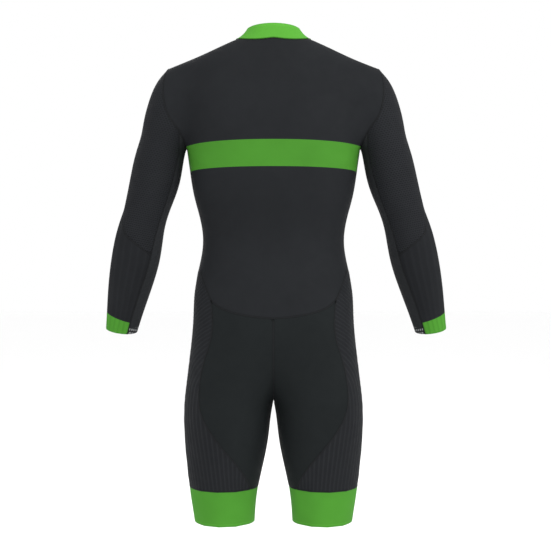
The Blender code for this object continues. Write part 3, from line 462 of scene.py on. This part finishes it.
# Soft creases of the left half, set on both sides a little differently
creases = [
    {"from": (0.168, 0.030, -0.232), "to": (0.120, 0.098, -0.245), "width": 0.009, "rise": -0.0012},
    {"from": (0.172, 0.040, -0.246), "to": (0.128, 0.090, -0.272), "width": 0.008, "rise": 0.0009},
    {"from": (0.168, -0.040, -0.232), "to": (0.110, -0.115, -0.235), "width": 0.010, "rise": -0.0013},
    {"from": (0.150, 0.020, -0.405), "to": (0.070, 0.075, -0.415), "width": 0.011, "rise": -0.0010},
    {"from": (0.150, 0.010, -0.432), "to": (0.085, 0.075, -0.446), "width": 0.010, "rise": -0.0008},
    {"from": (0.145, -0.030, -0.402), "to": (0.050, -0.105, -0.420), "width": 0.012, "rise": -0.0011},
    {"from": (0.215, 0.045, -0.385), "to": (0.290, 0.047, -0.372), "width": 0.007, "rise": -0.0010},
    {"from": (0.222, 0.038, -0.408), "to": (0.300, 0.038, -0.420), "width": 0.007, "rise": -0.0011},
    {"from": (0.228, -0.040, -0.392), "to": (0.310, -0.040, -0.384), "width": 0.007, "rise": -0.0013},
    {"from": (0.230, -0.045, -0.418), "to": (0.312, -0.046, -0.412), "width": 0.007, "rise": -0.0012},
    {"from": (0.176, 0.050, -0.180), "to": (0.235, 0.058, -0.150), "width": 0.010, "rise": -0.0010},
    {"from": (0.060, 0.108, -0.712), "to": (0.006, 0.098, -0.728), "width": 0.008, "rise": -0.0010},
    {"from": (0.075, 0.112, -0.690), "to": (0.020, 0.108, -0.708), "width": 0.009, "rise": -0.0008},
    {"from": (0.048, 0.118, -0.704), "to": (-0.048, 0.118, -0.704), "width": 0.006, "rise": -0.0009},
    {"from": (0.150, -0.060, -0.640), "to": (0.060, -0.098, -0.690), "width": 0.012, "rise": -0.0011},
    {"from": (0.155, -0.055, -0.620), "to": (0.050, -0.100, -0.665), "width": 0.010, "rise": 0.0007},
]
creaseForm = {"width": 0.9, "widen": 0.3, "bow": 0.004, "ends": 0.04, "taper": 0.7}
rightCrease = {"lift": 0.004, "liftTurn": 2.3, "drop": 0.005, "dropTurn": 1.7}


def creaseHeights(points):
    total = np.zeros(len(points))
    ends = creaseForm["ends"]
    for index, crease in enumerate(creases):
        for side in (1, -1):
            start = np.array(crease["from"]) * [side, 1, 1]
            end = np.array(crease["to"]) * [side, 1, 1]
            if side < 0:
                start[2] += rightCrease["lift"] * math.sin(index * rightCrease["liftTurn"])
                end[2] -= rightCrease["drop"] * math.sin(index * rightCrease["dropTurn"])
            run = end - start
            share = np.clip((points - start) @ run / (run @ run), 0, 1)
            near = start + share[:, None] * run
            near[:, 2] += creaseForm["bow"] * np.sin(share * math.pi)
            apart = np.linalg.norm(points - near, axis=1)
            taper = np.sin(math.pi * np.clip(share, ends, 1 - ends)) ** creaseForm["taper"]
            width = crease["width"] * (creaseForm["width"] + creaseForm["widen"] * share)
            total += crease["rise"] * taper * np.exp(-((apart / width) ** 2))
    return total


# The cut is a rectangle, as much larger than the piece as waste says
wall = {"thickness": 0.0010, "soften": 0.0002, "rimAngle": math.radians(60), "waste": 1.12}
skin = {"weld": 0.00002, "join": 3.2, "rimWidth": 0.0025, "corner": math.radians(152)}


def islandsOf(work):  # the faces in sets that hang together, the smallest area first
    left = dict.fromkeys(work.faces)  # a dictionary keeps the same order in every run
    islands = []
    while left:
        stack = [left.popitem()[0]]
        island = []
        while stack:
            face = stack.pop()
            island.append(face)
            around = [other for edge in face.edges for other in edge.link_faces if other in left]
            for other in dict.fromkeys(around):
                del left[other]
                stack.append(other)
        islands.append(island)
    return sorted(islands, key=lambda island: sum(face.calc_area() for face in island))


def outerFaces(node):  # the outer skin of a wall, in four-sided faces, without its rim and inside
    work = bmesh.new()
    work.from_mesh(node.data)
    bmesh.ops.remove_doubles(work, verts=work.verts, dist=skin["weld"])
    angles = {"angle_face_threshold": skin["join"], "angle_shape_threshold": skin["join"]}
    bmesh.ops.join_triangles(work, faces=work.faces, topology_influence=1.0, **angles)
    widths = {face: min(edge.calc_length() for edge in face.edges) for face in work.faces}
    rimFaces = [face for face, width in widths.items() if width < skin["rimWidth"]]
    bmesh.ops.delete(work, geom=rimFaces, context="FACES_ONLY")
    for island in islandsOf(work)[:-1]:
        bmesh.ops.delete(work, geom=island, context="FACES")
    bmesh.ops.delete(work, geom=[v for v in work.verts if not v.link_faces], context="VERTS")
    kept = work.verts.layers.float.new("crease_vert")  # the rim's corners stay sharp
    for vertex in work.verts:
        rim = [edge.other_vert(vertex).co - vertex.co for edge in vertex.link_edges if edge.is_boundary]
        if len(rim) == 2 and rim[0].angle(rim[1]) < skin["corner"]:
            vertex[kept] = 1.0
    return work


def asObject(name, work, material):
    mesh = bpy.data.meshes.new(name)
    work.to_mesh(mesh)
    work.free()
    mesh.materials.clear()
    mesh.materials.append(materials[material])
    mesh.shade_smooth()
    piece = bpy.data.objects.new(name, mesh)
    scene.collection.objects.link(piece)
    return piece


def applyModifiers(piece):
    graph = bpy.context.evaluated_depsgraph_get()
    mesh = bpy.data.meshes.new_from_object(piece.evaluated_get(graph))
    piece.modifiers.clear()
    piece.data = mesh


def soften(piece, name, width, angle):
    soft = piece.modifiers.new(name, "BEVEL")
    soft.width = width
    soft.segments = 2
    soft.limit_method = "ANGLE"
    soft.angle_limit = angle


def vertexTriples(mesh, name):
    found = np.empty(len(mesh.vertices) * 3)
    mesh.vertices.foreach_get(name, found)
    return found.reshape(-1, 3)


def movePoints(mesh, points):
    mesh.vertices.foreach_set("co", points.ravel())
    mesh.update()


def keepNumber(mesh, name, values):
    attribute = mesh.attributes.new(name, "FLOAT", "POINT")
    attribute.data.foreach_set("value", np.asarray(values, np.float32))


def mapCloth(mesh, kind, side):  # a flat map in metres, with no jump inside a face
    turn, along = maps[kind]["place"](vertexTriples(mesh, "co"), side)
    values = np.empty((len(mesh.loops), 2))
    for face in mesh.polygons:
        corners = list(face.vertices)
        turns = turn[corners]
        if turns.max() - turns.min() > math.pi:
            turns = np.where(turns < 0, turns + 2 * math.pi, turns)
        places = slice(face.loop_start, face.loop_start + len(corners))
        values[places, 0] = turns * maps[kind]["radius"]
        values[places, 1] = along[corners]
    mesh.uv_layers.new(name="cloth").data.foreach_set("uv", values.ravel())


print("cloth")
bothSides = ("_left", "_right")

# Some panels also have their own wall thickness, levels of subdivision, or length of the cut
panels = {
    "back_body": {"ends": ("",), "map": "trunk", "cloth": "banded", "slot": "dark_knit"},
    "front_body": {"ends": bothSides, "map": "trunk", "cloth": "banded", "slot": "dark_knit"},
    "collar": {
        "ends": ("",),
        "map": "trunk",
        "cloth": "collar",
        "slot": "green_knit",
        "wall": 0.0015,
        "length": 0.42,
    },
    "sleeve_upper": {"ends": bothSides, "map": "sleeve", "cloth": "dimpled", "slot": "dimpled_knit"},
    "sleeve_forearm": {
        "ends": bothSides,
        "map": "sleeve",
        "cloth": "forearm",
        "slot": "ribbed_knit",
        "levels": 3,
    },
    "sleeve_strip": {"ends": bothSides, "map": "sleeve", "cloth": "mesh", "slot": "mesh_knit"},
    "seat": {"ends": bothSides, "map": "leg", "cloth": "seat", "slot": "dark_knit"},
    "side": {"ends": bothSides, "map": "leg", "cloth": "side", "slot": "ribbed_knit", "levels": 3},
    "front_short": {"ends": bothSides, "map": "leg", "cloth": "seat", "slot": "dark_knit"},
    "leg_band": {"ends": bothSides, "map": "leg", "cloth": "trim", "slot": "green_knit", "wall": 0.0014},
}
cloth = {}


def clothPiece(name, end, panel):
    side = -1 if end == "_right" else 1
    piece = asObject("cloth_" + name + end, outerFaces(nodes[name + end]), panel["cloth"])
    smooth = piece.modifiers.new("smooth", "SUBSURF")
    smooth.levels = smooth.render_levels = panel.get("levels", 2)
    smooth.boundary_smooth = "PRESERVE_CORNERS"
    applyModifiers(piece)
    mesh = piece.data
    points = vertexTriples(mesh, "co")
    heights = creaseHeights(points)
    if name == "side":
        heights += ribRelief(points, side)
    movePoints(mesh, points + vertexTriples(mesh, "normal") * heights[:, None])
    keepNumber(mesh, "rib", legRibs(points, side) if panel["map"] == "leg" else armRibs(points, side))
    keepNumber(mesh, "cuff", cuffDepth(points, side))
    keepNumber(mesh, "grip", cuffDepth(points, side) - gripDots["below"])
    mapCloth(mesh, panel["map"], side)
    cloth[name + end] = {"piece": piece, "panel": panel}


for name, panel in panels.items():
    for end in panel["ends"]:
        clothPiece(name, end, panel)

print("seams")
seam = {"half": 0.0013, "rise": 0.0001, "crown": 0.00035, "crownAt": 0.6, "end": 0.0025, "closed": 0.006}
seam |= {"reach": 0.0050, "gap": 0.0003, "apart": 0.0015, "rounds": 2, "marks": 5, "fewest": 3}
farOff = 1.0  # for a sheet that has no such rim


def unit(rows):
    return rows / np.maximum(np.linalg.norm(rows, axis=-1, keepdims=True), 1e-9)


def rimLoops(piece):  # each rim in order: vertex numbers, points, normals, and the way into the sheet
    work = bmesh.new()
    work.from_mesh(piece.data)
    edges = dict.fromkeys(edge for edge in work.edges if edge.is_boundary)
    loops = []
    while edges:
        first = edges.popitem()[0]
        chain = [first.verts[0], first.verts[1]]
        while True:
            following = next((edge for edge in chain[-1].link_edges if edge in edges), None)
            if following is None:
                break
            del edges[following]
            chain.append(following.other_vert(chain[-1]))
        points = np.array([v.co[:] for v in chain])
        normals = np.array([v.normal[:] for v in chain])
        middles = [np.mean([f.calc_center_median()[:] for f in v.link_faces], axis=0) for v in chain]
        run = unit(np.gradient(points, axis=0))
        inward = np.array(middles) - points
        inward -= run * (inward * run).sum(axis=1)[:, None]
        inward -= normals * (inward * normals).sum(axis=1)[:, None]
        numbers = [v.index for v in chain]
        loops.append({"numbers": numbers, "points": points, "normals": normals, "inward": unit(inward)})
    work.free()
    return loops


def nearestOnRims(point, starts, runs):
    share = ((point - starts) * runs).sum(axis=1) / np.maximum((runs**2).sum(axis=1), 1e-12)
    near = starts + np.clip(share, 0, 1)[:, None] * runs
    apart = np.linalg.norm(near - point, axis=1)
    best = apart.argmin()
    return near[best], apart[best], best


def drawTogether():  # each rim goes half the way to its neighbours' rims
    for name, entry in cloth.items():
        others = [loop for key, other in cloth.items() if key != name for loop in other["rims"]]
        starts = np.vstack([loop["points"][:-1] for loop in others])
        runs = np.vstack([np.diff(loop["points"], axis=0) for loop in others])
        normals = np.vstack([loop["normals"][:-1] for loop in others])
        inwards = np.vstack([loop["inward"][:-1] for loop in others])
        for loop in entry["rims"]:
            found = [nearestOnRims(point, starts, runs) for point in loop["points"]]
            best = [index for _, _, index in found]
            loop["joined"] = np.array([apart < seam["reach"] for _, apart, _ in found])
            loop["middle"] = (loop["points"] + np.array([near for near, _, _ in found])) / 2
            loop["otherNormals"], loop["otherInward"] = normals[best], inwards[best]
    for loop in [loop for entry in cloth.values() for loop in entry["rims"]]:
        drawn = loop["middle"] + loop["inward"] * (seam["gap"] / 2)
        loop["points"] = np.where(loop["joined"][:, None], drawn, loop["points"])


def rimDistance(points, loops, joined):  # metres from each point to the rims that are joined, or free
    marks = [np.zeros((0, 3))]
    for loop in loops:
        both = (loop["joined"][1:] == joined) & (loop["joined"][:-1] == joined)
        for share in np.linspace(0, 1, seam["marks"]):
            marks.append((loop["points"][:-1] * (1 - share) + loop["points"][1:] * share)[both])
    marks = np.vstack(marks)
    if not len(marks):
        return np.full(len(points), farOff)
    return np.array([np.linalg.norm(marks - point, axis=1).min() for point in points])


def moveRims(entry):
    mesh = entry["piece"].data
    points = vertexTriples(mesh, "co")
    for loop in entry["rims"]:
        points[loop["numbers"]] = loop["points"]
    movePoints(mesh, points)
    keepNumber(mesh, "seam", rimDistance(points, entry["rims"], True))
    keepNumber(mesh, "hem", rimDistance(points, entry["rims"], False))


def seamRuns(loop, taken):  # the stretches of a rim that have a neighbour and no stitching yet
    found = []
    run = []
    for index, middle in enumerate(loop["middle"]):
        free = not len(taken) or np.linalg.norm(taken - middle, axis=1).min() > seam["apart"]
        if loop["joined"][index] and free:
            run.append((loop, index))
        else:
            found.append(run)
            run = []
    found.append(run)
    return [run for run in found if len(run) >= seam["fewest"]]


for entry in cloth.values():
    entry["rims"] = rimLoops(entry["piece"])
for _ in range(seam["rounds"]):
    drawTogether()
taken = np.zeros((0, 3))
stretches = []
for entry in cloth.values():
    moveRims(entry)
    for loop in entry["rims"]:
        stretches += seamRuns(loop, taken)
    taken = np.vstack([taken] + [loop["middle"][loop["joined"]] for loop in entry["rims"]])


def ribbonRows(run):  # five points across the seam for each step along it
    loop = run[0][0]
    numbers = [index for _, index in run]
    middle = loop["middle"][numbers]
    mine, theirs = loop["normals"][numbers], loop["otherNormals"][numbers]
    inward, outward = loop["inward"][numbers], loop["otherInward"][numbers]
    if np.linalg.norm(middle[0] - middle[-1]) > seam["closed"]:
        step = unit(np.diff(middle, axis=0))
        middle = np.vstack([middle[0] - step[0] * seam["end"], middle, middle[-1] + step[-1] * seam["end"]])
        mine, theirs, inward, outward = (
            np.vstack([rows[:1], rows, rows[-1:]]) for rows in (mine, theirs, inward, outward)
        )
    half, rise, crown, crownAt = (seam[key] for key in ("half", "rise", "crown", "crownAt"))
    return np.stack(
        [
            middle + inward * half + mine * rise,
            middle + inward * half * crownAt + mine * crown,
            middle + unit(mine + theirs) * crown,
            middle + outward * half * crownAt + theirs * crown,
            middle + outward * half + theirs * rise,
        ],
        axis=1,
    ), mine


def addRibbon(work, layer, run):
    rows, up = ribbonRows(run)
    last, lanes = len(rows) - 1, rows.shape[1] - 1
    steps = np.linalg.norm(np.diff(rows[:, lanes // 2], axis=0), axis=1)
    along = np.concatenate([[0], np.cumsum(steps)])
    grid = bmesh.ops.create_grid(work, x_segments=last, y_segments=lanes, size=1.0)["verts"]
    place = {v: (round((v.co.x + 1) / 2 * last), round((v.co.y + 1) / 2 * lanes)) for v in grid}
    for vertex, (step, lane) in place.items():
        vertex.co = rows[step, lane]
    faces = list(dict.fromkeys(face for vertex in grid for face in vertex.link_faces))
    faces[0].normal_update()
    if faces[0].normal @ Vector(up[place[faces[0].verts[0]][0]]) < 0:
        bmesh.ops.reverse_faces(work, faces=faces)
    for face in faces:
        for corner in face.loops:
            step, lane = place[corner.vert]
            corner[layer].uv = (along[step], lane * 2 / lanes - 1)


work = bmesh.new()
layer = work.loops.layers.uv.new("cloth")
for run in stretches:
    addRibbon(work, layer, run)
stitching = asObject("seam_stitching", work, "seam")
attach(stitching, "suit")

print("walls")
for name, entry in cloth.items():
    piece, panel = entry["piece"], entry["panel"]
    area = sum(face.area for face in piece.data.polygons)
    solid = piece.modifiers.new("wall", "SOLIDIFY")
    solid.thickness = panel.get("wall", wall["thickness"])
    solid.offset = -1.0
    soften(piece, "soft rim", wall["soften"], wall["rimAngle"])
    applyModifiers(piece)
    piece.data.shade_smooth()
    points = vertexTriples(piece.data, "co")
    length = panel.get("length", float(points[:, 2].max() - points[:, 2].min()))
    width = area / length * wall["waste"]
    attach(piece, "suit")
    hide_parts(name)

print("zip")
coil = {"pitch": 0.0016, "halfLength": 0.001584, "radius": 0.0006, "reach": 0.0008, "sink": 0.5}
coil |= {"flatten": 0.9, "lowEnd": 0.0010, "highEnd": 0.0008}
coil |= {"levels": 60, "nearest": 12, "slopeOver": 0.004}
metalEdge = {"width": 0.0002, "angle": math.radians(30)}
low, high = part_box("zip_chain")
levels = np.linspace(low[2], high[2], coil["levels"])
chainPoints = vertexTriples(nodes["zip_chain"].data, "co")
nearby = [np.abs(chainPoints[:, 2] - z).argsort()[: coil["nearest"]] for z in levels]
front = [chainPoints[numbers, 1].min() for numbers in nearby]


def chainFront(z):
    return float(np.interp(z, levels, front))


def addTooth(work, z, side):
    over = coil["slopeOver"]
    depth = chainFront(z) + coil["radius"] * coil["sink"]
    slope = (chainFront(z + over) - chainFront(z - over)) / (2 * over)
    tooth = bmesh.ops.create_icosphere(work, subdivisions=1, radius=coil["radius"])
    for vertex in tooth["verts"]:
        vertex.co.x = side * coil["reach"] + vertex.co.x / coil["radius"] * coil["halfLength"]
        vertex.co.y = depth + vertex.co.y * coil["flatten"] + slope * vertex.co.z
        vertex.co.z += z


work = bmesh.new()
heights = np.arange(low[2] + coil["lowEnd"], high[2] - coil["highEnd"], coil["pitch"] / 2)
for index, z in enumerate(heights):
    addTooth(work, z, 1 if index % 2 else -1)
teeth = asObject("zip_teeth", work, "coil")
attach(teeth, "suit")

zipFinish = {
    "zip_chain": "coil",
    "zip_tape_left": "tape",
    "zip_tape_right": "tape",
    "zip_slider": "metal",
    "zip_pull_tab": "metal",
}
for name, material in zipFinish.items():
    for holder in nodes[name].material_slots:
        holder.material = materials[material]
    if material == "metal":
        soften(nodes[name], "soft edges", metalEdge["width"], metalEdge["angle"])

print("studio")
ground = {"size": 20.0, "z": -1.25}
work = bmesh.new()
bmesh.ops.create_grid(work, x_segments=1, y_segments=1, size=ground["size"])
bmesh.ops.translate(work, verts=work.verts, vec=(0, 0, ground["z"]))
floor = asObject("floor", work, "floor")

world = bpy.data.worlds.new("studio")
world.use_nodes = True
background = world.node_tree.nodes["Background"]
background.inputs["Color"].default_value = (1.0, 1.0, 1.0, 1.0)
background.inputs["Strength"].default_value = 1.0
scene.world = world

lights = {
    "key": {"at": (-2.3, 1.9, 0.9), "towards": (0, 0, -0.4), "size": 1.2, "power": 48},
    "fill": {"at": (2.2, 1.6, 0.3), "towards": (0, 0, -0.5), "size": 1.8, "power": 12},
    "front": {"at": (0.6, -2.6, 0.8), "towards": (0, 0, -0.5), "size": 2.0, "power": 16},
    "above": {"at": (-0.2, 1.5, 1.9), "towards": (0, 0, -0.1), "size": 1.6, "power": 22},
}
for name, setting in lights.items():
    light = bpy.data.lights.new(name, "AREA")
    light.shape = "DISK"
    light.size = setting["size"]
    light.energy = setting["power"]
    lamp = bpy.data.objects.new(name, light)
    lamp.location = setting["at"]
    aim = Vector(setting["towards"]) - Vector(setting["at"])
    lamp.rotation_euler = aim.to_track_quat("-Z", "Y").to_euler()
    scene.collection.objects.link(lamp)

view = {"eye": (-0.0041, 2.15, -0.483), "across": math.radians(29.44), "sensor": 36.0}
camera = bpy.data.cameras.new("camera")
camera.sensor_width = view["sensor"]
camera.angle = view["across"]
eye = bpy.data.objects.new("camera", camera)
eye.location = view["eye"]
eye.rotation_euler = (math.radians(90), 0, math.radians(180))
scene.collection.objects.link(eye)
scene.camera = eye
scene.view_settings.view_transform = "Standard"
scene.view_settings.look = "None"

print("finished")
